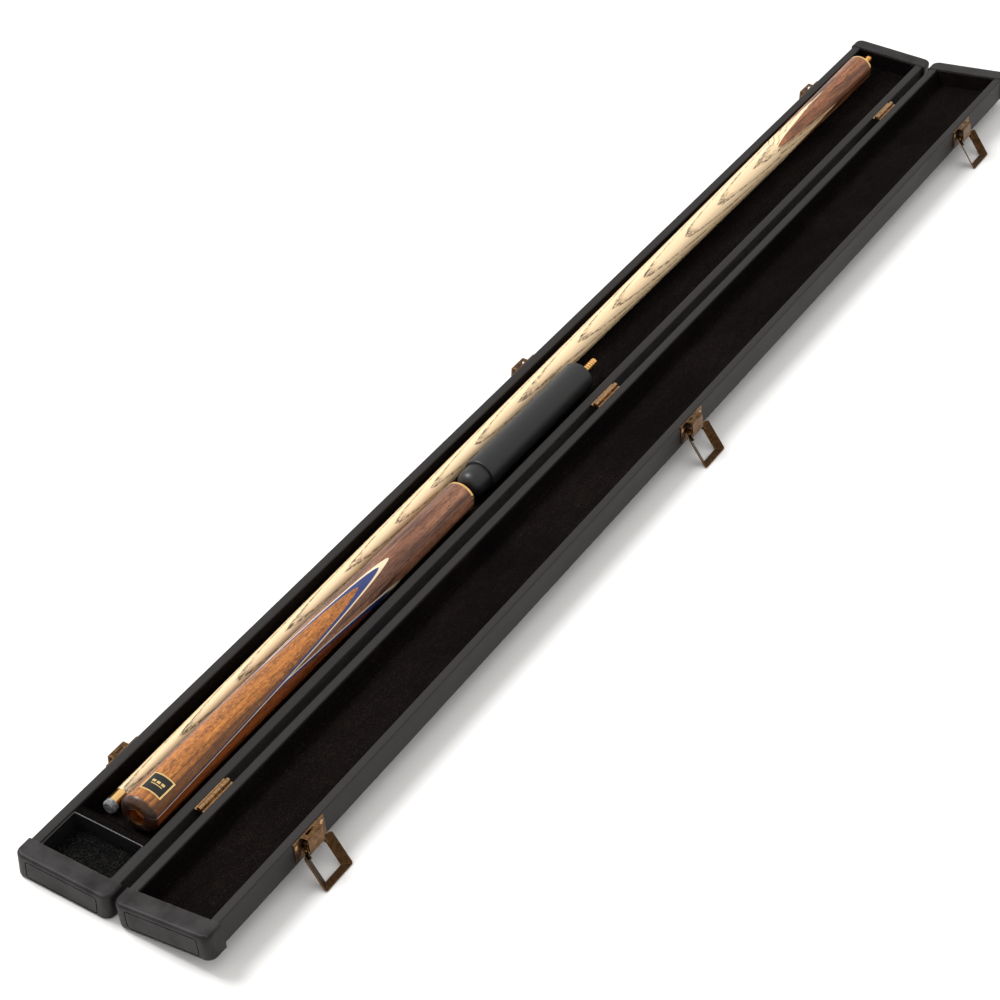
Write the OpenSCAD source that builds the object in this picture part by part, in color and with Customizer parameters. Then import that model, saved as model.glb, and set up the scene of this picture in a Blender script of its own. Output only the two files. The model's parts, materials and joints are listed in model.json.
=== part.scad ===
// Long hard-shell cue case, open on its three rear hinges, with the jointed cue it carries.
// Frame: Y runs along the case (near end -Y), X across it (base -X, lid +X), Z up.
// Origin: middle of the hinge line, dropped to the plane that the base stands on.

/* [Case] */
// Overall length over both end caps
case_len = 1180; // [900:10:1300]
// Width of one tray over its covered walls
tray_w = 68; // [66:1:90]
// Height of the tray rim above the standing plane
rim_h = 19.5; // [19.5:0.5:26]
// Thickness of the covered long walls
wall_t = 6.8; // [5:0.1:8]
// Clear gap between the two hinge-side walls when open
hinge_gap = 6.8; // [6.4:0.1:9]
// Thickness of the bottom panel of each tray
panel_t = 2.8; // [2:0.1:4]
// Degrees that the open lid's outer edge stands up from flat
lid_tilt = 8.7; // [0:0.1:12]

/* [End caps] */
// Length of an end cap along the case
cap_len = 14.5; // [12:0.5:20]
// How far a cap stands proud of the covered walls
cap_proud = 2; // [1:0.1:2.5]
// How far a cap stands proud of the rim
cap_lip = 0.5; // [0.5:0.1:1]
// Radius of the caps' upright corners
cap_corner_r = 6; // [3:0.5:8]

/* [Lining and accessory box] */
// Thickness of the velvet on the tray floors
floor_nap = 1; // [0.6:0.1:1.5]
// Thickness of the velvet on the tray walls
wall_nap = 0.8; // [0.5:0.1:1]
// Length of the accessory box along the case
box_len = 33; // [25:1:60]
// Thickness of the divider block behind the accessory box
divider_t = 5.5; // [4:0.5:10]

/* [Hinges] */
// Distance of the outer hinges and latches from the middle of the case
station_pitch = 486.5; // [300:0.5:486.5]
// Length of one hinge
hinge_len = 30.5; // [24:0.5:40]
// Radius of the hinge barrel
barrel_r = 1.7; // [1.5:0.1:2]
// Radius of the hinge pin
hinge_pin_r = 0.8; // [0.6:0.1:0.9]

/* [Latches] */
// Length of a latch or keeper plate along the case
plate_len = 31; // [30:1:36]
// Height of a latch or keeper plate
plate_h = 14.5; // [14:0.5:15]
// Length of the pressed-out box along the case
bridge_len = 15; // [12:0.5:16]
// Depth of the pressed-out box from the wall
bridge_d = 6.1; // [6.1:0.1:7]
// Reach of the bail from its pivot to its outer edge
bail_reach = 27.7; // [27:0.1:29]
// Depth of the bail's dished strip
bail_dish = 3.5; // [2.5:0.1:3.6]

/* [Cue] */
// Length of the shaft section without its joint pin
shaft_len = 1071; // [800:1:1074]
// Length of the butt section
butt_len = 371; // [300:1:376]
// Length of the extension body with its plug
ext_len = 159; // [100:0.5:160]
// Radius of the shaft at its leather tip
tip_r = 4.75; // [4.5:0.05:5]
// Radius of the shaft at its joint
joint_r = 11.6; // [10.5:0.1:11.6]
// Radius of the butt section at its joint
butt_joint_r = 12; // [11.5:0.1:12.6]
// Radius of the butt section at its base
butt_base_r = 14.2; // [13:0.1:14.4]
// Radius of the extension
ext_r = 12.8; // [12:0.1:13]

/* [Hidden] */
$fn = 48;

half_len = case_len / 2;
wall_in = hinge_gap / 2;                 // hinge-side wall, outer face, from the hinge plane
wall_out = wall_in + tray_w;             // outer wall, outer face
bay_in = wall_in + wall_t;               // tray inside, hinge side
bay_out = wall_out - wall_t;             // tray inside, outer side
cap_skin = 1.2;                          // cap thickness under the tray
cap_end_t = 2.5;                         // cap thickness at its end face
closing_gap = 0.05;                      // kept free between each cap and the closing plane
plan_mid = 8.336;                        // middle of the open case's outline, from the hinge line
badge_seat = 0.02;                       // film of glue under the badge
axis_z = rim_h + cap_lip;                // hinge axis, on the plane where the caps meet
floor_z = cap_skin + panel_t;            // top of the bottom panel
nap_z = floor_z + floor_nap;             // top of the floor velvet
frame_end = half_len - cap_end_t;        // ends of the long walls
bay_end = half_len - cap_len;            // ends of the tray's inside
lining_top = rim_h - 1.2;
box_top = rim_h - 0.9;
box_wall = 1.2;
box_far = -bay_end + box_len;            // far side of the accessory box
bay_start = box_far + divider_t;         // near end of the cue bay
over = 1;                                // cutters run this far past the faces they cut

leaf_t = 0.8;
leaf_reach = 9;
leaf_z = axis_z - barrel_r;              // underside of a leaf, tangent to its barrel
knuckle_gap = 0.1;
knuckle_mid = hinge_len * 0.42;
pin_play = 0.03;                         // running clearance on a pin
brad_r = 0.6;
brad_len = 8;
brad_x = 6.6;
brad_pitch = hinge_len * 0.6;

plate_t = 0.9;
plate_top = rim_h - 0.7;
sheet_t = 0.9;
bridge_h = 12;
slot_len = 8.5;
slot_w = 2;
pivot_drop = 9.8;                        // pivot below the rim
pivot_out = 3.5;                         // pivot out from the wall
pivot_r = 0.8;
lug_t = 1;
lug_r = 1.7;
lug_y = bridge_len / 2 - 2.4;            // inner face of a pivot lug
wire_r = 0.35;
ear_t = 0.9;
ear_y = bridge_len / 2 + 0.35;           // inner face of a bail ear
ear_r = 2;
bail_t = 0.9;
bail_foot = 3.6;                         // width of the end bar, seen from the front
bail_side = 5.6;                         // width of a side arm, seen from the front
bail_low = 0.25 - bail_dish / 2;         // inner edge of the dish, out from the pivot
bail_high = 0.25 + bail_dish / 2;        // outer edge of the dish
arm_top = 2.2;                           // where the side arms start, below the pivot
bail_in_y = ear_y + ear_t;               // inner edge of a side arm
bail_out_y = bail_in_y + bail_side;      // outer edge of a side arm
bail_corner_r = 2.4;
screw_pitch = plate_len - 5;
screw_drop = 4.2;                        // screws below the top edge of the plate
screw_r = 0.7;
screw_head_r = 1.5;
screw_head_h = 0.4;
screw_len = 5;

// The resting bail leans out until the lower corner of its end bar touches the standing plane
pivot_x = wall_out + pivot_out;
pivot_z = rim_h - pivot_drop;
pivot_height = axis_z + pivot_x * sin(lid_tilt) - (axis_z - pivot_z) * cos(lid_tilt);
foot_slope = atan(bail_dish / bail_foot);
foot_down = bail_reach + bail_t / 2 * sin(foot_slope);
foot_out = bail_high - bail_t / 2 * cos(foot_slope);
bail_lean = acos(min(1, pivot_height / norm([foot_down, foot_out])))
  - atan(foot_out / foot_down) - lid_tilt;

rest_gap = 0.1;                          // play under each resting cue section
tip_len = 4.7;
ferrule_len = 9.6;
collar_len = 1.8;
pin_len = 20;
ext_pin_len = 22.5;
splice_tip = shaft_len - 172;            // points of the dark tail splice, from the tip
splice_slope = 0.028;
panel_tip = butt_len * 0.743;            // points of the butt panels, from the base of the butt
panel_slope = 0.027;
pale_t = 0.4;
blue_t = 0.8;
points = 4;                              // splice points round the cue
splice_v = 2;                            // degrees that each side of a splice cut falls to its middle
shaft_turn = 30;                         // first point, degrees from upright towards the lid
butt_turn = 10;
base_round = 5;
socket_r = 6.5;
socket_depth = 7;
bush_len = 20;
bush_bore_r = 3.8;
badge_w = 16;
badge_t = 0.3;
badge_line = 1;
badge_pos = 19.5;                        // badge centre from the base of the butt
plug_len = 17.3;
plug_r = 10.8;
shaft_x = -54;                           // at the tip
shaft_drift = 2.3;                       // how far the shaft's joint end lies nearer the hinge
butt_x = -28.6;
ext_x = -29.2;
shaft_y = -half_len + 66;
butt_y = -half_len + 63;
ext_y = -half_len + 442;

leatherette = [0.20, 0.20, 0.21];
cap_plastic = [0.25, 0.245, 0.25];
velvet = [0.07, 0.055, 0.05];
antique_brass = [0.48, 0.37, 0.22];
bright_brass = [0.80, 0.64, 0.33];
rosewood = [0.36, 0.20, 0.12];
ash = [0.87, 0.76, 0.56];

// ---- placing ----

// Pieces are drawn from the hinge line; the frame's origin is the middle of the open case
module from_hinge() { translate([-plan_mid, 0, 0]) children(); }

// The lid in its resting place: flat beside the base, then tipped up about the hinge axis
module in_lid() {
  from_hinge() translate([0, 0, axis_z]) rotate([0, -lid_tilt, 0]) translate([0, 0, -axis_z])
    children();
}

// The base, drawn as the mirror image of the flat lid
module in_base() { from_hinge() mirror([1, 0, 0]) children(); }

// One copy at each hinge and latch station
module at_stations() {
  for (s = [-1, 0, 1]) translate([0, s * station_pitch, 0]) children();
}

// ---- tray parts, drawn on the +X side ----

module tray_panel() {
  translate([wall_in, -frame_end, cap_skin]) cube([tray_w, 2 * frame_end, panel_t]);
}

module long_wall(x) {
  translate([x, -frame_end, floor_z]) cube([wall_t, 2 * frame_end, rim_h - floor_z]);
}

module tray_outer_wall() {
  difference() {
    long_wall(bay_out);
    at_stations() plate_screw_sites() rotate([0, 90, 0])
      translate([0, 0, -screw_len]) cylinder(r = screw_r, h = screw_len + over);
  }
}

module tray_hinge_wall() {
  difference() {
    long_wall(wall_in);
    at_stations() {
      translate([wall_in - over, -hinge_len / 2, leaf_z])
        cube([leaf_reach - wall_in + over, hinge_len, leaf_t]);
      leaf_brad_sites() cylinder(r = brad_r, h = brad_len);
    }
  }
}

module tray_end_rails() {
  for (s = [0, 1]) mirror([0, s, 0])
    translate([bay_in, -frame_end, floor_z])
      cube([bay_out - bay_in, frame_end - bay_end, rim_h - floor_z]);
}

// Plan of a cap: square towards the tray, rounded at its two end corners
module cap_plan() {
  w = tray_w + 2 * cap_proud;
  r = cap_corner_r;
  square_part = cap_len - r;
  translate([wall_in - cap_proud, r]) square([w, square_part]);
  translate([wall_in - cap_proud + r, 0]) square([w - 2 * r, r]);
  for (x = [r, w - r]) translate([wall_in - cap_proud + x, r]) circle(r);
}

// Upright rectangle with rounded corners, thickness t along Y
module rounded_plate(w, h, r, t) {
  rotate([90, 0, 0]) translate([0, 0, -t]) linear_extrude(t) {
    translate([-w / 2, -h / 2 + r]) square([w, h - 2 * r]);
    translate([-w / 2 + r, -h / 2]) square([w - 2 * r, h]);
    for (x = [-1, 1], z = [-1, 1]) translate([x * (w / 2 - r), z * (h / 2 - r)]) circle(r);
  }
}

// Moulded near end cap of one tray, with its outlined end panel
module tray_cap() {
  groove_w = 0.9;
  groove_d = 0.7;
  panel_w = tray_w - 13;
  panel_h = axis_z - 4.6;
  mid_x = (wall_in + wall_out) / 2;
  difference() {
    translate([0, -half_len, 0]) linear_extrude(axis_z - closing_gap) cap_plan();
    translate([wall_in, -frame_end, cap_skin]) cube([tray_w, cap_len, rim_h - cap_skin]);
    translate([mid_x, -half_len, axis_z / 2 - 0.1]) difference() {
      translate([0, -over, 0]) rounded_plate(panel_w, panel_h, 2.6, groove_d + over);
      translate([0, -2 * over, 0])
        rounded_plate(panel_w - 2 * groove_w, panel_h - 2 * groove_w, 1.7, groove_d + 3 * over);
    }
  }
}

// Velvet channel between two stations along the tray
module tray_lining(y0, y1) {
  difference() {
    translate([bay_in, y0, floor_z]) cube([bay_out - bay_in, y1 - y0, lining_top - floor_z]);
    translate([bay_in + wall_nap, y0 + wall_nap, nap_z])
      cube([bay_out - bay_in - 2 * wall_nap, y1 - y0 - 2 * wall_nap, rim_h]);
  }
}

// ---- accessory box, drawn on the +X side ----

module divider() {
  edge_r = 1.2;
  h = lining_top - floor_z;
  translate([bay_in, box_far, floor_z]) {
    cube([bay_out - bay_in, divider_t, h - edge_r]);
    translate([0, edge_r, 0]) cube([bay_out - bay_in, divider_t - 2 * edge_r, h]);
    for (y = [edge_r, divider_t - edge_r])
      translate([0, y, h - edge_r]) rotate([0, 90, 0]) cylinder(r = edge_r, h = bay_out - bay_in);
  }
}

module tray_box() {
  difference() {
    translate([bay_in, -bay_end, floor_z]) cube([bay_out - bay_in, box_len, box_top - floor_z]);
    translate([bay_in + box_wall, -bay_end + box_wall, floor_z + box_wall])
      cube([bay_out - bay_in - 2 * box_wall, box_len - 2 * box_wall, rim_h]);
  }
}

module box_pad() {
  translate([bay_in + box_wall, -bay_end + box_wall, floor_z + box_wall])
    cube([bay_out - bay_in - 2 * box_wall, box_len - 2 * box_wall, 1]);
}

// ---- hinges ----

module leaf_brad_sites() {
  for (s = [-1, 1]) translate([brad_x, s * brad_pitch / 2, leaf_z + leaf_t - brad_len]) children();
}

// Barrel stretch from y0 to y1, with the leaf web that carries it
module knuckle(y0, y1) {
  translate([0, y0, leaf_z]) cube([wall_in, y1 - y0, leaf_t]);
  translate([0, y0, axis_z]) rotate([-90, 0, 0]) cylinder(r = barrel_r, h = y1 - y0);
}

// One leaf on the +X side; outer = true carries the two outer knuckles
module hinge_leaf(outer) {
  cut = knuckle_mid / 2;
  difference() {
    union() {
      translate([barrel_r + 0.3, -hinge_len / 2, leaf_z])
        cube([leaf_reach - barrel_r - 0.3, hinge_len, leaf_t]);
      if (outer) {
        knuckle(-hinge_len / 2, -cut - knuckle_gap);
        knuckle(cut + knuckle_gap, hinge_len / 2);
      } else knuckle(-cut, cut);
    }
    translate([0, -hinge_len / 2 - over, axis_z]) rotate([-90, 0, 0])
      cylinder(r = hinge_pin_r + pin_play, h = hinge_len + 2 * over);
    leaf_brad_sites() cylinder(r = brad_r, h = brad_len + over);
  }
}

module hinge_pin() {
  translate([0, -hinge_len / 2, axis_z]) rotate([-90, 0, 0]) cylinder(r = hinge_pin_r, h = hinge_len);
}

module leaf_brads() { leaf_brad_sites() cylinder(r = brad_r, h = brad_len); }

// ---- latch stampings, drawn on the +X side ----

module plate_screw_sites() {
  for (s = [-1, 1]) translate([wall_out, s * screw_pitch / 2, plate_top - screw_drop]) children();
}

// Side view of the pressed-out box, from the wall outwards and down
module bridge_profile() {
  r = 2 * sheet_t;
  translate([0, -sheet_t]) square([bridge_d - r, sheet_t]);
  translate([bridge_d - sheet_t, -bridge_h]) square([sheet_t, bridge_h - r]);
  translate([bridge_d - r, -r]) intersection() {
    difference() {
      circle(r);
      circle(r - sheet_t);
    }
    square(r);
  }
}

// Plate, pressed-out box with its slot, and (on the lid) the lugs that hold the bail pivot
module latch_stamping(lugs) {
  difference() {
    union() {
      translate([wall_out, -plate_len / 2, plate_top - plate_h]) cube([plate_t, plate_len, plate_h]);
      translate([wall_out, bridge_len / 2, plate_top]) rotate([90, 0, 0])
        linear_extrude(bridge_len) bridge_profile();
      if (lugs) for (s = [-1, 1]) translate([wall_out, s * (lug_y + lug_t / 2) - lug_t / 2, 0]) {
        translate([0, 0, pivot_z - lug_r]) cube([pivot_out, lug_t, 2 * lug_r]);
        translate([pivot_out, 0, pivot_z]) rotate([-90, 0, 0]) cylinder(r = lug_r, h = lug_t);
      }
    }
    translate([wall_out + plate_t + 0.2, -slot_len / 2, plate_top - 2 * sheet_t])
      cube([slot_w, slot_len, 4 * sheet_t]);
    plate_screw_sites() rotate([0, 90, 0]) translate([0, 0, -over])
      cylinder(r = screw_r, h = plate_t + 2 * over);
    translate([pivot_x, -bridge_len, pivot_z]) rotate([-90, 0, 0])
      cylinder(r = pivot_r, h = 2 * bridge_len);
  }
}

module plate_screws() {
  plate_screw_sites() rotate([0, 90, 0]) {
    translate([0, 0, plate_t - screw_len]) cylinder(r = screw_r, h = screw_len);
    translate([0, 0, plate_t]) cylinder(r1 = screw_head_r, r2 = screw_head_r * 0.6, h = screw_head_h);
  }
}

module at_pivot() { translate([pivot_x, 0, pivot_z]) children(); }

module bail_pivot_pin() {
  half = ear_y + ear_t;
  at_pivot() translate([0, -half, 0]) rotate([-90, 0, 0]) cylinder(r = pivot_r, h = 2 * half);
}

// Close-wound torsion spring on the pivot pin, its two ends running up and down
module bail_spring() {
  turns = 7;
  pitch = 2 * wire_r;
  inner = pivot_r + 0.02;
  crest = inner + 2 * wire_r;
  leg_x = inner + wire_r;
  half = turns * pitch / 2;
  at_pivot() {
    translate([0, -half, 0]) rotate([-90, 0, 0]) rotate_extrude() polygon(concat(
      [[inner, turns * pitch], [inner, 0]],
      [for (i = [0 : 2 * turns]) [crest - (i % 2 == 0 ? wire_r : 0), i * pitch / 2]]));
    translate([-leg_x - 0.3, 0.1 - half, 0.1]) cube([0.6, 0.6, 4.9]);
    translate([leg_x - 0.3, half - 0.7, -3.5]) cube([0.6, 0.6, 3.4]);
  }
}

// Flat outline of a strip bail_t thick, running from one point to another
module strip(from, to) {
  run = to - from;
  translate(from) rotate(atan2(run[1], run[0])) translate([0, -bail_t / 2]) square([norm(run), bail_t]);
}

// Wedge between the two mitres of the end bar, drawn t0 to t1 of the strip's width across
module mitre_wedge(t0, t1) {
  rotate([90, 0, 90]) translate([0, 0, -10]) linear_extrude(20) polygon([
    for (e = [[1, t0], [1, t1], [-1, t1], [-1, t0]])
      [e[0] * (bail_in_y + e[1] * bail_side), -(bail_reach - bail_foot) - e[1] * bail_foot]]);
}

// Dished frame that hangs from the pivot towards -Z, with its dish to +X
module bail_shape() {
  lap = 0.35;
  r = bail_corner_r;
  // ears with the pivot holes, running down into the side arms
  for (s = [0, 1]) mirror([0, s, 0]) difference() {
    union() {
      translate([0, ear_y, 0]) rotate([-90, 0, 0]) cylinder(r = ear_r, h = ear_t);
      translate([-ear_r, ear_y, -arm_top - 4]) cube([ear_r + 0.4, ear_t, arm_top + 4]);
    }
    translate([0, ear_y - over, 0]) rotate([-90, 0, 0])
      cylinder(r = pivot_r + pin_play, h = ear_t + 2 * over);
  }
  intersection() {
    union() {
      // side arms, mitred into the end bar
      difference() {
        for (s = [0, 1]) mirror([0, s, 0]) translate([0, 0, -bail_reach - over])
          linear_extrude(bail_reach + over - arm_top)
            strip([bail_low - lap, bail_in_y - lap], [bail_high, bail_out_y]);
        mitre_wedge(-1, 3);
      }
      intersection() {
        rotate([90, 0, 0]) translate([0, 0, -bail_out_y - over]) linear_extrude(2 * (bail_out_y + over))
          strip([bail_low, bail_foot - bail_reach], [bail_high, -bail_reach]);
        mitre_wedge(-1, 3);
      }
    }
    // outline with rounded corners
    translate([-10, 0, 0]) {
      h = bail_reach - arm_top;
      translate([0, -bail_out_y - over, -bail_reach + r]) cube([20, 2 * (bail_out_y + over), h - 2 * r]);
      translate([0, -bail_out_y + r, -bail_reach - over]) cube([20, 2 * (bail_out_y - r), h + over]);
      for (y = [-1, 1], z = [r - bail_reach, -arm_top - r])
        translate([0, y * (bail_out_y - r), z]) rotate([0, 90, 0]) cylinder(r = r + 0.2, h = 20);
    }
  }
}

module bail() {
  in_lid() at_pivot() rotate([0, -bail_lean, 0]) bail_shape();
}

// ---- cue sections, each drawn up the Z axis from its near end ----

// Lays a tapered section down the case on the velvet, near end at y, its underside level
module lay_down(x, y, r0, r1, len, drift = 0) {
  lean = atan((r1 - r0) / len);
  translate([x, y, nap_z + rest_gap + r0 / cos(lean)])
    rotate([0, 0, -atan(drift / len)]) rotate([lean - 90, 0, 0]) children();
}

module taper(r0, r1, z0, z1) {
  translate([0, 0, z0]) cylinder(r1 = r0, r2 = r1, h = z1 - z0, $fn = 96);
}

// Everything beyond splice cut k, a very shallow V that leaves the surface of radius r at height z
module splice_side(k, turn, r, z, slope) {
  rotate([0, 0, 180 + turn + (k + 1) * 360 / points]) translate([0, r, z])
    rotate([-atan(slope), 0, 0]) intersection() {
      rotate(splice_v) translate([-60, 0, -1200]) cube([120, 60, 2400]);
      rotate(-splice_v) translate([-60, 0, -1200]) cube([120, 60, 2400]);
    }
}

function shaft_r(z) = tip_r + (joint_r - tip_r) * z / shaft_len;
function butt_r(z) = butt_base_r + (butt_joint_r - butt_base_r) * z / butt_len;

module in_shaft() {
  from_hinge() lay_down(shaft_x, shaft_y, tip_r, joint_r, shaft_len, shaft_drift) children();
}
module in_butt() { from_hinge() lay_down(butt_x, butt_y, butt_base_r, butt_joint_r, butt_len) children(); }
module in_ext() { from_hinge() lay_down(ext_x, ext_y, ext_r, ext_r, ext_len) children(); }

module shaft_blank() {
  z0 = tip_len + ferrule_len;
  z1 = shaft_len - collar_len;
  taper(shaft_r(z0), shaft_r(z1), z0, z1);
}

module shaft_points() {
  for (k = [0 : points - 1])
    splice_side(k, shaft_turn, shaft_r(splice_tip), splice_tip, -splice_slope);
}

module joint_pin(len) {
  shank = len * 0.35;
  cylinder(r = 3.6, h = 1.2);
  cylinder(r = 2.6, h = shank);
  for (i = [0 : 4]) translate([0, 0, shank + i * (len - shank - 1) / 5])
    cylinder(r1 = 3.1, r2 = 2.7, h = (len - shank - 1) / 5);
  translate([0, 0, len - 1]) cylinder(r1 = 2.9, r2 = 2.2, h = 1);
}

// Butt blank with its rounded, hollowed base
module butt_blank() {
  z1 = butt_len - collar_len;
  r_edge = butt_r(base_round);
  difference() {
    union() {
      taper(r_edge, butt_r(z1), base_round, z1);
      rotate_extrude($fn = 96) {
        translate([r_edge - base_round, base_round]) intersection() {
          circle(base_round);
          translate([0, -base_round]) square(base_round);
        }
        square([r_edge - base_round, base_round]);
      }
    }
    translate([0, 0, -over]) cylinder(r = socket_r, h = socket_depth + bush_len + over);
  }
}

module butt_side(k, inset) {
  splice_side(k, butt_turn, butt_r(panel_tip) + inset, panel_tip, panel_slope);
}

// Layer of the butt between two depths of its splice cuts first to last; each later cut
// crosses the earlier ones, so the last panel is the whole one
module butt_layer(from, to, first = 0, last = points - 1) {
  for (k = [first : last]) difference() {
    intersection() {
      butt_blank();
      butt_side(k, from);
    }
    if (to > from) butt_side(k, to);
    if (k < points - 1) for (j = [k + 1 : points - 1]) butt_side(j, 0);
  }
}

// Square of the butt's skin, w wide and t thick, in the middle of its first panel
module badge_patch(w, t) {
  intersection() {
    difference() {
      taper(butt_r(0) + t, butt_r(60) + t, 0, 60);
      taper(butt_r(0) + badge_seat, butt_r(60) + badge_seat, 0, 60);
    }
    rotate([0, 0, 180 + butt_turn]) translate([-w / 2, 0, badge_pos - w / 2]) cube([w, 40, w]);
  }
}

// ---- nodes ----

module base_panel() { color(leatherette) in_base() tray_panel(); }
module base_outer_wall() { color(leatherette) in_base() tray_outer_wall(); }
module base_hinge_wall() { color(leatherette) in_base() tray_hinge_wall(); }
module base_end_rails() { color(leatherette) in_base() tray_end_rails(); }
module base_cap_near() { color(cap_plastic) in_base() tray_cap(); }
module base_cap_far() { color(cap_plastic) in_base() mirror([0, 1, 0]) tray_cap(); }
module base_lining() { color(velvet) in_base() tray_lining(bay_start, bay_end); }
module divider_block() { color(velvet) in_base() divider(); }
module accessory_box() { color([0.10, 0.10, 0.10]) in_base() tray_box(); }
module accessory_pad() { color(velvet) in_base() box_pad(); }
module keepers() { color(antique_brass) in_base() at_stations() latch_stamping(false); }
module keeper_screws() { color(antique_brass) in_base() at_stations() plate_screws(); }
module hinge_base_leaves() { color(bright_brass) in_base() at_stations() hinge_leaf(true); }
module hinge_pins() { color(bright_brass) from_hinge() at_stations() hinge_pin(); }
module hinge_base_brads() { color("silver") in_base() at_stations() leaf_brads(); }

module lid_panel() { color(leatherette) in_lid() tray_panel(); }
module lid_outer_wall() { color(leatherette) in_lid() tray_outer_wall(); }
module lid_hinge_wall() { color(leatherette) in_lid() tray_hinge_wall(); }
module lid_end_rails() { color(leatherette) in_lid() tray_end_rails(); }
module lid_cap_near() { color(cap_plastic) in_lid() tray_cap(); }
module lid_cap_far() { color(cap_plastic) in_lid() mirror([0, 1, 0]) tray_cap(); }
module lid_lining() { color(velvet) in_lid() tray_lining(-bay_end, bay_end); }
module latch_plates() { color(antique_brass) in_lid() at_stations() latch_stamping(true); }
module latch_screws() { color(antique_brass) in_lid() at_stations() plate_screws(); }
module latch_pins() { color(bright_brass) in_lid() at_stations() bail_pivot_pin(); }
module latch_springs() { color("silver") in_lid() at_stations() bail_spring(); }
module hinge_lid_leaves() { color(bright_brass) in_lid() at_stations() hinge_leaf(false); }
module hinge_lid_brads() { color("silver") in_lid() at_stations() leaf_brads(); }

module bail_near() { color(antique_brass) translate([0, -station_pitch, 0]) bail(); }
module bail_mid() { color(antique_brass) bail(); }
module bail_far() { color(antique_brass) translate([0, station_pitch, 0]) bail(); }

module shaft_ash() {
  color(ash) in_shaft() difference() {
    shaft_blank();
    shaft_points();
  }
}
module shaft_splice() {
  color(rosewood) in_shaft() intersection() {
    shaft_blank();
    shaft_points();
  }
}
module shaft_tip() {
  color([0.30, 0.31, 0.32]) in_shaft() {
    cylinder(r1 = tip_r - 1, r2 = tip_r, h = 1.2);
    translate([0, 0, 1.2]) cylinder(r = tip_r, h = tip_len - 1.2);
  }
}
module shaft_ferrule() {
  color(bright_brass) in_shaft()
    taper(shaft_r(tip_len), shaft_r(tip_len + ferrule_len), tip_len, tip_len + ferrule_len);
}
module shaft_collar() {
  color(bright_brass) in_shaft()
    taper(shaft_r(shaft_len - collar_len), joint_r, shaft_len - collar_len, shaft_len);
}
module shaft_joint_pin() {
  color(bright_brass) in_shaft() translate([0, 0, shaft_len]) joint_pin(pin_len);
}

module butt_core() {
  color(rosewood) in_butt() difference() {
    butt_blank();
    for (k = [0 : points - 1]) butt_side(k, 0);
  }
}
module butt_veneer_pale() { color([0.88, 0.82, 0.68]) in_butt() butt_layer(0, pale_t); }
module butt_veneer_blue() { color([0.13, 0.20, 0.40]) in_butt() butt_layer(pale_t, pale_t + blue_t); }
module butt_front_panel() {
  color([0.72, 0.36, 0.14]) in_butt() butt_layer(pale_t + blue_t, 0, points - 1);
}
module butt_side_panels() {
  color([0.42, 0.17, 0.08]) in_butt() butt_layer(pale_t + blue_t, 0, 0, points - 2);
}
module butt_joint_ring() {
  color(bright_brass) in_butt() difference() {
    taper(butt_r(butt_len - collar_len), butt_joint_r, butt_len - collar_len, butt_len);
    translate([0, 0, butt_len - 2 * collar_len]) cylinder(r = bush_bore_r, h = 3 * collar_len);
  }
}
module butt_socket() {
  color(bright_brass) in_butt() difference() {
    translate([0, 0, socket_depth]) cylinder(r = socket_r, h = bush_len);
    translate([0, 0, socket_depth - over]) cylinder(r = bush_bore_r, h = bush_len - 3);
  }
}
module badge_plate() { color([0.05, 0.05, 0.05]) in_butt() badge_patch(badge_w - 2 * badge_line, badge_t); }
module badge_border() {
  color(bright_brass) in_butt() difference() {
    badge_patch(badge_w, badge_t);
    badge_patch(badge_w - 2 * badge_line, badge_t + over);
  }
}

module extension_body() {
  r = 2;
  color([0.17, 0.175, 0.18]) in_ext() {
    taper(ext_r, ext_r, plug_len, ext_len - r);
    rotate_extrude($fn = 96) {
      translate([ext_r - r, ext_len - r]) intersection() {
        circle(r);
        square(r);
      }
      translate([0, ext_len - r]) square([ext_r - r, r]);
    }
  }
}
module extension_plug() {
  r = 5;
  color([0.13, 0.13, 0.14]) in_ext() {
    taper(plug_r, plug_r, r, plug_len);
    rotate_extrude($fn = 96) {
      translate([plug_r - r, r]) intersection() {
        circle(r);
        translate([0, -r]) square(r);
      }
      square([plug_r - r, r]);
    }
  }
}
module extension_collar() {
  color(bright_brass) in_ext() translate([0, 0, ext_len]) cylinder(r = 5, h = 1.2);
}
module extension_joint_pin() {
  color(bright_brass) in_ext() translate([0, 0, ext_len + 1.2]) joint_pin(ext_pin_len);
}

base_panel();
base_outer_wall();
base_hinge_wall();
base_end_rails();
base_cap_near();
base_cap_far();
base_lining();
divider_block();
accessory_box();
accessory_pad();
keepers();
keeper_screws();
hinge_base_leaves();
hinge_pins();
hinge_base_brads();
lid_panel();
lid_outer_wall();
lid_hinge_wall();
lid_end_rails();
lid_cap_near();
lid_cap_far();
lid_lining();
latch_plates();
latch_screws();
latch_pins();
latch_springs();
hinge_lid_leaves();
hinge_lid_brads();
bail_near();
bail_mid();
bail_far();
shaft_ash();
shaft_splice();
shaft_tip();
shaft_ferrule();
shaft_collar();
shaft_joint_pin();
butt_core();
butt_veneer_pale();
butt_veneer_blue();
butt_front_panel();
butt_side_panels();
butt_joint_ring();
butt_socket();
badge_plate();
badge_border();
extension_body();
extension_plug();
extension_collar();
extension_joint_pin();
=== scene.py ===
import json
import math

import bmesh
import bpy
from mathutils import Matrix, Vector, noise


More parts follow.
